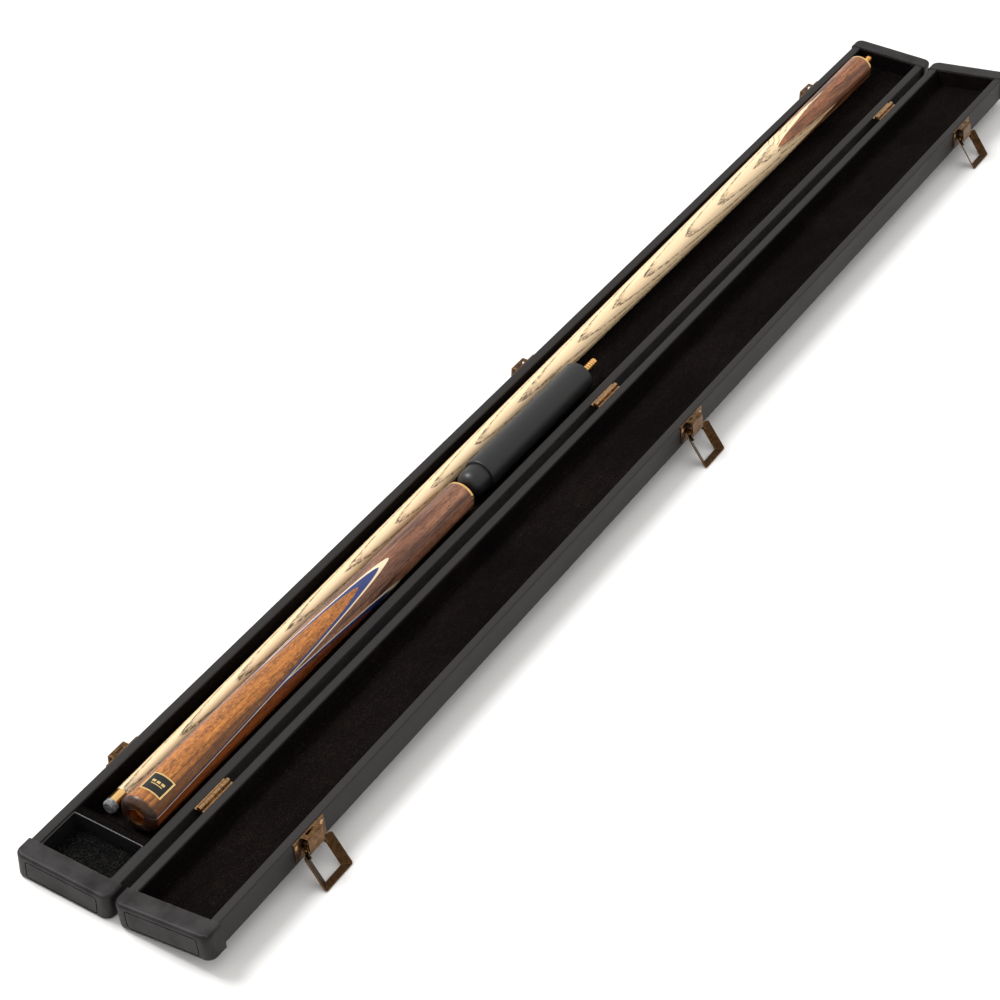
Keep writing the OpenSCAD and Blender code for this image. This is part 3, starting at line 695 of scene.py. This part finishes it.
MAT = {
    "leatherette": leatherette(),
    "cap": cap_plastic(),
    "velvet": velvet("velvet", srgb(6, 4, 4), srgb(16, 12, 11), srgb(38, 31, 28), srgb(92, 82, 76)),
    "velvet_pad": velvet(
        "velvet_pad", srgb(6, 6, 6), srgb(15, 14, 14), srgb(60, 59, 57), srgb(130, 128, 124)
    ),
    "antique": antique_brass("antique_brass", srgb(66, 46, 29), srgb(128, 96, 64), srgb(238, 194, 134)),
    "bail": antique_brass("bail_brass", srgb(50, 35, 22), srgb(84, 60, 37), srgb(222, 176, 116)),
    "brass": bright_brass("bright_brass", srgb(255, 214, 142), srgb(228, 176, 110)),
    "hinge": bright_brass("hinge_brass", srgb(196, 156, 112), srgb(112, 82, 54)),
    "cup": antique_brass("cup_brass", srgb(150, 104, 66), srgb(212, 160, 104), srgb(250, 210, 150)),
    "screw": antique_brass("screw_brass", srgb(150, 112, 76), srgb(196, 154, 108), srgb(240, 200, 148)),
    "gilt": bright_brass("gilt", srgb(255, 224, 154), srgb(232, 190, 122)),
    "steel": spring_steel(),
    "ash": ash_wood("shaft_ash"),
    "rosewood": dense_wood(
        "rosewood", "butt_core", srgb(84, 50, 36), srgb(140, 94, 70), srgb(172, 122, 92), srgb(34, 19, 14),
        stripes=0.85, burnt=True,
    ),
    "tail": dense_wood(
        "tail_wood", "shaft_splice", srgb(88, 48, 26), srgb(150, 92, 56), srgb(188, 124, 80),
        srgb(34, 18, 12), stripes=0.85, slant=0.035,
    ),
    "amber": dense_wood(
        "amber_wood", "butt_front_panel", srgb(106, 60, 26), srgb(168, 100, 42), srgb(206, 134, 62),
        srgb(64, 38, 24), stretch=0.09, streak=260.0, figure=0.6, stripes=0.6, burnt=True, smoke=0.7,
    ),
    "red": dense_wood(
        "red_wood", "butt_side_panels", srgb(62, 28, 12), srgb(112, 54, 22), srgb(146, 76, 32),
        srgb(30, 14, 8), figure=0.4, burnt=True,
    ),
    "blue": veneer("blue_veneer", srgb(18, 30, 78), srgb(34, 54, 118)),
    "pale": veneer("pale_veneer", srgb(214, 194, 156), srgb(238, 222, 192)),
    # the box's pale edge colour is a painted highlight along its rim and edges
    "box": moulded("box_plastic", srgb(17, 17, 18), srgb(26, 26, 27), 0.3, edge=srgb(150, 150, 152)),
    "charcoal": moulded("charcoal", srgb(15, 16, 17), srgb(22, 23, 24), 0.42),
    "badge": moulded("badge_black", srgb(4, 4, 4), srgb(9, 9, 9), 0.28),
    "tip": tip_leather(),
}

# ---------------------------------------------------------------- trays


def settle(mesh, side):
    """Moves a finished mesh from tray coordinates, which the base mirrors, to the row frame."""
    mesh.transform(tray_matrix(side))
    if side == "base":
        mesh.flip_normals()


def shell(side):
    """Covered tray in one wrap: panel and both long walls, with the covering's lap below the rim."""
    lap = RIM - 4.6 * MM
    step, crease = 0.28 * MM, 0.12 * MM
    edge, soft = 1.4 * MM, 0.9 * MM
    outline = fillet([
        (WALL_IN, SHELL_LOW, edge),
        (WALL_OUT - step, SHELL_LOW, edge),
        (WALL_OUT - step, lap - step, 0),
        (WALL_OUT, lap, crease),
        (WALL_OUT, RIM, soft),
        (BAY_OUT, RIM, soft),
        (BAY_OUT, FLOOR, 0),
        (BAY_IN, FLOOR, 0),
        (BAY_IN, RIM, soft),
        (WALL_IN, RIM, soft),
    ])
    ys = spread([-FRAME_END, FRAME_END], 12 * MM)
    verts, faces, uvs = extruded(outline, ys)
    nodes = [f"{side}_panel", f"{side}_outer_wall", f"{side}_hinge_wall"]
    make(f"{side}_covering", verts, faces, MAT["leatherette"], side, nodes,
         uvs=uvs, smooth=40, side=side)


def cap(side, end):
    """Moulded end cap: rounded outside, hollow to fit the tray, with a grooved end panel."""
    r_plan, r_low, r_top = 6 * MM, 1.8 * MM, 2.2 * MM

    def ring(inset, z):
        u0, u1, y0 = CAP_IN + inset, CAP_OUT - inset, CAP_END + inset
        r = r_plan - inset * 0.6
        points = [Vector((u0, CAP_MOUTH, z))]
        for cx, cy, a0 in ((u0 + r, y0 + r, math.pi), (u1 - r, y0 + r, 1.5 * math.pi)):
            for a in quarter(8):
                points.append(Vector((cx + r * math.cos(a0 + a), cy + r * math.sin(a0 + a), z)))
        points.append(Vector((u1, CAP_MOUTH, z)))
        return points

    levels = [(r_low * (1 - math.sin(a)), r_low * (1 - math.cos(a))) for a in quarter(7)]
    levels += [(r_top * (1 - math.cos(a)), CAP_TOP - r_top + r_top * math.sin(a)) for a in quarter(7)]
    verts = [v for inset, z in levels for v in ring(inset, z)]
    faces = loft(len(levels), len(verts) // len(levels))
    obj = make(f"{side}_cap_{end}_shell", verts, faces, MAT["cap"], side,
               [f"{side}_cap_{end}"])
    carve(obj, *box_mesh((WALL_IN, -FRAME_END, SHELL_LOW), (WALL_OUT, CAP_MOUTH + 9 * MM, RIM)))
    # the end panel's outline is a groove, cut by a ring of outer and inner loops
    mid = (WALL_IN + WALL_OUT) / 2
    half_w = (WALL_OUT - WALL_IN - 13 * MM) / 2
    low, high = 2.3 * MM, CAP_TOP - 3.3 * MM
    deep = CAP_END + 0.75 * MM
    line = 0.85 * MM
    r_outer, r_inner = 2.6 * MM, 1.75 * MM

    def panel(inset, r):
        return fillet([
            (mid - half_w + inset, low + inset, r), (mid + half_w - inset, low + inset, r),
            (mid + half_w - inset, high - inset, r), (mid - half_w + inset, high - inset, r)], 6)

    outer, inner = panel(0, r_outer), panel(line, r_inner)
    n = len(outer)
    out = CAP_END - 1 * MM
    verts = [Vector((p.x, y, p.y)) for y in (out, deep) for loop in (outer, inner) for p in loop]
    faces = []
    for k in range(n):
        q = (k + 1) % n
        faces += [(k, q, n + q, n + k), (2 * n + k, 3 * n + k, 3 * n + q, 2 * n + q),
                  (k, 2 * n + k, 2 * n + q, q), (n + k, n + q, 3 * n + q, 3 * n + k)]
    carve(obj, verts, faces)
    mesh = obj.data
    if end == "far":
        mesh.transform(Matrix.Scale(-1, 4, Vector((0, 1, 0))))
        mesh.flip_normals()
    settle(mesh, side)
    shade(mesh, 38)
    bevel(obj, 0.16 * MM, 2, 38)


def uneven(scale, size, moves):
    """Small repeatable push up or down on each point that moves, for cloth that isn't quite flat."""

    def push(v):
        if not moves(v):
            return Vector((0, 0, 0))
        lift = noise.noise(Vector((v.x, v.y * 0.6, v.z)) * scale) * size
        lift += noise.noise(Vector((v.x + 3, v.y, v.z)) * scale * 3.1) * size * 0.45
        return Vector((0, 0, lift))

    return push


def lining(side, near, far):
    """Velvet channel: floor and side walls in one, then its two end walls."""
    low = FLOOR
    corner = 1.1 * MM
    lip = 0.35 * MM
    outline = fillet([
        (BAY_IN, low, 0),
        (BAY_OUT, low, 0),
        (BAY_OUT, LINING_TOP, lip),
        (BAY_OUT - WALL_NAP, LINING_TOP, lip),
        (BAY_OUT - WALL_NAP, low + NAP, corner),
        (BAY_IN + WALL_NAP, low + NAP, corner),
        (BAY_IN + WALL_NAP, LINING_TOP, lip),
        (BAY_IN, LINING_TOP, lip),
    ], 4)
    # the wide top of the floor gets more points, so that it can be uneven
    extra = []
    strips = 14
    for a, b in zip(outline, outline[1:] + outline[:1]):
        extra.append(a)
        if (b - a).length > 20 * MM and a.y > low + NAP / 2:
            extra += [a + (b - a) * k / strips for k in range(1, strips)]
    ys = spread([near + WALL_NAP, far - WALL_NAP], 4 * MM)
    inside = uneven(60, 0.22 * MM, lambda v: v.z > low + NAP / 2 and v.z < LINING_TOP - 2 * lip)
    channel = extruded(extra, ys, inside)[:2]
    size = Vector((BAY_OUT - BAY_IN, WALL_NAP, LINING_TOP - low))
    blocks = []
    for y in (near, far - WALL_NAP):
        start = Vector((BAY_IN, y, low))
        blocks.append(rounded_box(start, start + size, lip, 4 * MM))
    verts, faces = join([channel] + blocks)
    make(f"{side}_velvet", verts, faces, MAT["velvet"], side, [f"{side}_lining"],
         smooth=60, side=side)


def tub(low, high, wall, floor, r_out, r_lip, r_in):
    """Open-topped box as one closed solid, with rounded upright corners and a rolled rim."""

    def ring(inset, z, r):
        x0, x1, y0, y1 = low.x + inset, high.x - inset, low.y + inset, high.y - inset
        loop = fillet([(x0, y0, r), (x1, y0, r), (x1, y1, r), (x0, y1, r)], 6)
        return [Vector((p.x, p.y, z)) for p in loop]

    turns = quarter(5)
    rim, bed = high.z - r_lip, low.z + floor
    rows = [ring(0, low.z, r_out)]
    rows += [ring(r_lip * (1 - math.cos(a)), rim + r_lip * math.sin(a), r_out) for a in turns]
    rows += [ring(wall - r_lip + r_lip * math.sin(a), rim + r_lip * math.cos(a), r_in) for a in turns]
    for a in turns:
        rows.append(ring(wall + r_in * (1 - math.cos(a)) * 0.7, bed + r_in * (1 - math.sin(a)) * 0.7, r_in))
    return [v for row in rows for v in row], loft(len(rows), len(rows[0]))


def accessory_end():
    """The accessory box, its velvet pad, and the velvet block beside it."""
    low, high = tray_space("accessory_box")
    verts, faces = tub(low, high, wall=1.2 * MM, floor=1.2 * MM, r_out=0.8 * MM, r_lip=0.55 * MM,
                       r_in=1.2 * MM)
    make("accessory_tub", verts, faces, MAT["box"], "base", ["accessory_box"],
         smooth=40, side="base")
    low, high = tray_space("accessory_pad")
    verts, faces = rounded_box(low, high, 0.4 * MM, 1.6 * MM,
                               uneven(150, 0.25 * MM, lambda v: v.z > high.z - 0.1 * MM))
    make("accessory_velvet", verts, faces, MAT["velvet_pad"], "base", ["accessory_pad"],
         smooth=60, side="base")
    low, high = tray_space("divider_block")
    verts, faces = rounded_box(low, high, 1.3 * MM, 1.2 * MM,
                               uneven(120, 0.25 * MM, lambda v: v.z > low.z + 2 * MM))
    make("divider_velvet", verts, faces, MAT["velvet"], "base", ["divider_block"],
         smooth=60, side="base")


for tray in ("base", "lid"):
    shell(tray)
    for which in ("near", "far"):
        cap(tray, which)
lining("base", LINING_NEAR, BAY_END)
lining("lid", -BAY_END, BAY_END)
accessory_end()

# ---------------------------------------------------------------- hinges and latches

for node, body in (("hinge_base_leaves", "base"), ("hinge_lid_leaves", "lid")):
    clean_copy(node, node + "_eased", MAT["hinge"], body, 0.12 * MM)
clean_copy("hinge_pins", "hinge_pins_eased", MAT["hinge"], "base", 0.1 * MM)
clean_copy("keepers", "keepers_eased", MAT["antique"], "base", 0.18 * MM)
clean_copy("latch_plates", "latch_plates_eased", MAT["antique"], "lid", 0.18 * MM)
clean_copy("latch_pins", "latch_pins_eased", MAT["brass"], "lid", 0.1 * MM)
for which, body in (("near", "near_bail"), ("mid", "middle_bail"), ("far", "far_bail")):
    clean_copy("bail_" + which, f"bail_{which}_eased", MAT["bail"], body, 0.2 * MM, 3)


def screws(node, name, side):
    """Small domed heads with a cross recess and a plain shank, at the CAD screws' own places."""
    inverse = tray_matrix(side).inverted()
    points = [inverse @ v.co for v in frame["nodes"][node].data.vertices]
    face = max(p.x for p in points)
    ys = sorted({round(p.y / MM, 1) for p in points})
    # two screws are more than this many millimetres apart along the case
    apart = 3
    groups = [[ys[0]]]
    for y in ys[1:]:
        if y - groups[-1][-1] > apart:
            groups.append([])
        groups[-1].append(y)
    top = max(p.z for p in points)
    bottom = min(p.z for p in points)
    z = (top + bottom) / 2
    head_r = (top - bottom) / 2
    # lower than the CAD head, so that a latched bail passes over it
    cad_head, head_h = 0.4 * MM, 0.19 * MM
    shank_r, shank_len = 0.68 * MM, 4 * MM
    recess = 0.14 * MM
    profile = [(0, -shank_len), (shank_r, -shank_len), (shank_r, 0)]
    profile += [(head_r * r, head_h * h) for r, h in ((1, 0), (0.78, 0.5), (0.64, 0.85), (0.45, 0.97))]
    profile.append((0, head_h))
    parts = []
    for i, group in enumerate(groups):
        y = (group[0] + group[-1]) / 2 * MM
        seat = Matrix.Translation((face - cad_head, y, z)) @ Matrix.Rotation(math.pi / 2, 4, "Y")
        # each cross recess sits at its own angle
        turn = 0.6 + i * 0.9
        parts.append((turned(profile, seat, 24), seat, turn))
    verts, faces = join([p[0] for p in parts])
    obj = make(name, verts, faces, MAT["screw"], side, [node], smooth=30)
    arm = head_r * 0.62
    verts, faces = box_mesh((-arm, -recess, head_h * 0.35), (arm, recess, 1 * MM))
    for _, seat, turn in parts:
        for extra in (0, math.pi / 2):
            spin = seat @ Matrix.Rotation(turn + extra, 4, "Z")
            carve(obj, [spin @ v for v in verts], faces)
    settle(obj.data, side)
    shade(obj.data, 30)


screws("keeper_screws", "keeper_screw_heads", "base")
screws("latch_screws", "latch_screw_heads", "lid")


def springs():
    """Wound torsion springs on the bail pins, with their two straight ends."""
    inverse = tray_matrix("lid").inverted()
    points = [inverse @ v.co for v in frame["nodes"]["latch_springs"].data.vertices]
    pins = [inverse @ v.co for v in frame["nodes"]["latch_pins"].data.vertices]
    u = (max(p.x for p in pins) + min(p.x for p in pins)) / 2
    z = (max(p.z for p in pins) + min(p.z for p in pins)) / 2
    wire = 0.32 * MM
    coil_r = max(p.x for p in points) - u - wire
    top, bottom = max(p.z for p in points), min(p.z for p in points)
    station = JOINTS["far_bail_pivot"]["pos_m"][1]
    reach = max(p.y for p in points) - station
    # five and a half turns
    steps = 18
    count = 5 * steps + steps // 2
    half = reach - wire
    leg_gap = 0.4 * MM
    parts = []
    for y in (-station, 0.0, station):
        path = [Vector((u - coil_r, y - half, top)), Vector((u - coil_r, y - half, z + leg_gap))]
        for k in range(count + 1):
            a = math.pi + 2 * math.pi * k / steps
            along = y - half + 2 * half * k / count
            path.append(Vector((u + coil_r * math.cos(a), along, z + coil_r * math.sin(a))))
        path += [Vector((u + coil_r, y + half, z - leg_gap)), Vector((u + coil_r, y + half, bottom))]
        parts.append(tube(path, wire))
    verts, faces = join(parts)
    make("latch_spring_wire", verts, faces, MAT["steel"], "lid", ["latch_springs"],
         smooth=50, side="lid")


springs()

# ---------------------------------------------------------------- cue

for node, key in (
    ("shaft_ash", "ash"),
    ("shaft_splice", "tail"),
    ("shaft_ferrule", "brass"),
    ("shaft_collar", "brass"),
    ("shaft_joint_pin", "brass"),
    ("shaft_tip", "tip"),
    ("butt_core", "rosewood"),
    ("butt_veneer_pale", "pale"),
    ("butt_veneer_blue", "blue"),
    ("butt_front_panel", "amber"),
    ("butt_side_panels", "red"),
    ("butt_joint_ring", "brass"),
    ("badge_plate", "badge"),
    ("badge_border", "gilt"),
    ("extension_collar", "brass"),
    ("extension_joint_pin", "brass"),
    ("base_end_rails", "leatherette"),
    ("lid_end_rails", "leatherette"),
    ("hinge_base_brads", "steel"),
    ("hinge_lid_brads", "steel"),
):
    mesh = frame["nodes"][node].data
    mesh.materials.clear()
    mesh.materials.append(MAT[key])


def butt_axis():
    """Base-end point and direction of the butt's own axis."""
    socket = sum(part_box("butt_socket"), Vector()) / 2
    ring = sum(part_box("butt_joint_ring"), Vector()) / 2
    along = (ring - socket).normalized()
    start = socket + along * ((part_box("butt_core")[0].y - socket.y) / along.y)
    return start, along


def axis_matrix(start, along, up):
    """Turns local Z to the axis and local X to up."""
    x = (up - along * up.dot(along)).normalized()
    y = along.cross(x)
    return Matrix.Translation(start) @ Matrix((x, y, along)).transposed().to_4x4()


def socket_liner():
    """Metal cup in the butt's base: a thin wall up the recess, then the threaded bush."""
    start, along = butt_axis()
    place = axis_matrix(start, along, Vector((0, 0, 1)))
    low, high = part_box("butt_socket")
    outer = (high.x - low.x) / 2 - 0.01 * MM
    step, end = low.y - start.y, high.y - start.y
    lip, bore, chamfer, bottom = 0.5 * MM, 3.8 * MM, 0.6 * MM, 3 * MM
    thread, pitch = 0.35 * MM, 1.2 * MM
    profile = [(0, end), (outer, end), (outer, 0.45 * MM), (outer - lip * 0.55, 0.2 * MM),
               (outer - lip, 0.35 * MM), (outer - lip, step), (bore + chamfer, step),
               (bore, step + chamfer)]
    z = step + 1.4 * MM
    while z < end - 4.4 * MM:
        profile += [(bore, z), (bore + thread, z + pitch / 3), (bore, z + pitch * 2 / 3)]
        z += pitch
    profile += [(bore, end - bottom), (0, end - bottom)]
    verts, faces = turned(profile, place, 64)
    make("butt_socket_cup", verts, faces, MAT["cup"], "butt", ["butt_socket"],
         smooth=40)


def extension_sleeve():
    """Extension with softened shoulders, and its rounded plug."""
    low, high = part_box("extension_body")
    plug_low, plug_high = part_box("extension_plug")
    tip = Vector(((low.x + high.x) / 2, plug_low.y, (low.z + high.z) / 2))
    place = axis_matrix(tip, Vector((0, 1, 0)), Vector((0, 0, 1)))
    body_r, plug_r = (high.x - low.x) / 2, (plug_high.x - plug_low.x) / 2
    start, end = low.y - plug_low.y, high.y - plug_low.y
    soft, rear, nose = 1.3 * MM, 2 * MM, 7.5 * MM
    turns = quarter(8)
    body = [(0, start)]
    body += [(body_r - soft * (1 - math.sin(a)), start + soft * (1 - math.cos(a))) for a in turns]
    body += [(body_r - rear * (1 - math.cos(a)), end - rear * (1 - math.sin(a))) for a in turns]
    verts, faces = turned(body + [(0, end)], place, 72)
    make("extension_sleeve", verts, faces, MAT["charcoal"], "extension", ["extension_body"],
         smooth=40)
    plug = [(0, 0)] + [(plug_r - nose * (1 - math.sin(a)), nose * (1 - math.cos(a))) for a in turns]
    verts, faces = turned(plug + [(plug_r, start), (0, start)], place, 72)
    make("extension_nose", verts, faces, MAT["charcoal"], "extension", ["extension_plug"],
         smooth=40)


def badge_marks():
    """Plain gilt marks on the badge: three short bars over a thin line."""
    start, along = butt_axis()
    points = [v.co for v in frame["nodes"]["badge_plate"].data.vertices]
    middle = sum(points, Vector()) / len(points)
    up = middle - start
    up -= along * up.dot(along)
    place = axis_matrix(start, along, up)
    inverse = place.inverted()
    local = [inverse @ p for p in points]
    near, far = min(p.z for p in local), max(p.z for p in local)
    r_near = max(math.hypot(p.x, p.y) for p in local if p.z < near + 0.5 * MM)
    r_far = max(math.hypot(p.x, p.y) for p in local if p.z > far - 0.5 * MM)
    centre = (near + far) / 2

    buried, proud = 0.05 * MM, 0.09 * MM

    def patch(s0, s1, z0, z1):
        """Curved plate between two places round the butt and two along it."""
        n = max(2, math.ceil((s1 - s0) / (0.4 * MM)))
        verts, faces = [], []
        for z in (z0, z1):
            r0 = r_near + (r_far - r_near) * (z - near) / (far - near)
            for r in (r0 - buried, r0 + proud):
                for k in range(n + 1):
                    a = (s0 + (s1 - s0) * k / n) / r0
                    verts.append(place @ Vector((r * math.cos(a), r * math.sin(a), z)))
        m = n + 1
        for k in range(n):
            faces += [(k, k + 1, m + k + 1, m + k), (2 * m + k, 3 * m + k, 3 * m + k + 1, 2 * m + k + 1),
                      (k, 2 * m + k, 2 * m + k + 1, k + 1), (m + k, m + k + 1, 3 * m + k + 1, 3 * m + k)]
        faces += [(0, m, 3 * m, 2 * m), (n, 2 * m + n, 3 * m + n, m + n)]
        return verts, faces

    gap, half, half_line = 3.4 * MM, 1.25 * MM, 4.2 * MM
    bars = [patch(s - half, s + half, centre + 0.1 * MM, centre + 2.0 * MM) for s in (-gap, 0.0, gap)]
    line = patch(-half_line, half_line, centre - 1.6 * MM, centre - 0.9 * MM)
    verts, faces = join(bars + [line])
    make("badge_gilt_marks", verts, faces, MAT["gilt"], "butt", smooth=30)


socket_liner()
extension_sleeve()
badge_marks()

# ---------------------------------------------------------------- floor, light, camera


def floor():
    """Plain pale floor."""
    size = 14.0
    mesh = bpy.data.meshes.new("floor")
    corners = [(-size, -size, 0), (size, -size, 0), (size, size, 0), (-size, size, 0)]
    mesh.from_pydata(corners, [], [(0, 1, 2, 3)])
    s = Shader("floor")
    s.set(Base_Color=(0.93, 0.925, 0.92, 1), Roughness=0.6)
    mesh.materials.append(s.material)
    obj = bpy.data.objects.new("floor", mesh)
    bpy.context.scene.collection.objects.link(obj)


def light():
    """One large lamp high on the base's side, and a bright, slightly warm room."""
    centre = (Vector(CAD_BOX[0]) + Vector(CAD_BOX[1])) / 2
    data = bpy.data.lights.new("key", "AREA")
    data.shape = "DISK"
    size, power, at = 1.2, 62, (-1.6, -0.5, 2.2)
    data.size = size
    data.energy = power
    lamp = bpy.data.objects.new("key", data)
    lamp.location = at
    lamp.rotation_euler = (centre - lamp.location).to_track_quat("-Z", "Y").to_euler()
    bpy.context.scene.collection.objects.link(lamp)
    warm, strength = (1, 0.985, 0.965, 1), 0.86
    world = bpy.data.worlds.new("studio")
    world.use_nodes = True
    background = world.node_tree.nodes["Background"]
    background.inputs[0].default_value = warm
    background.inputs[1].default_value = strength
    bpy.context.scene.world = world


def camera():
    """A long lens, forty degrees up, seen from the near end on the lid's side."""
    yaw, pitch, roll = math.radians(31.24), math.radians(39.97), math.radians(1.08)
    # metres from the hinge line, from the case's near end, and above the floor
    aside, back, above = 0.705, 0.741, 1.160
    data = bpy.data.cameras.new("camera")
    data.sensor_width = 36
    data.lens = 91.2
    data.shift_x = 0.0145
    data.shift_y = 0.0165
    data.clip_end = 50
    obj = bpy.data.objects.new("camera", data)
    place = Vector((HINGE_X + aside, CAP_END - back, above))
    look = Vector((-math.sin(yaw) * math.cos(pitch), math.cos(yaw) * math.cos(pitch), -math.sin(pitch)))
    turn = look.to_track_quat("-Z", "Y").to_matrix().to_4x4() @ Matrix.Rotation(roll, 4, "Z")
    obj.matrix_world = Matrix.Translation(place) @ turn
    bpy.context.scene.collection.objects.link(obj)
    bpy.context.scene.camera = obj


floor()
light()
camera()
bpy.context.scene.view_settings.view_transform = "Standard"
bpy.context.scene.view_settings.look = "None"

bpy.context.view_layer.update()
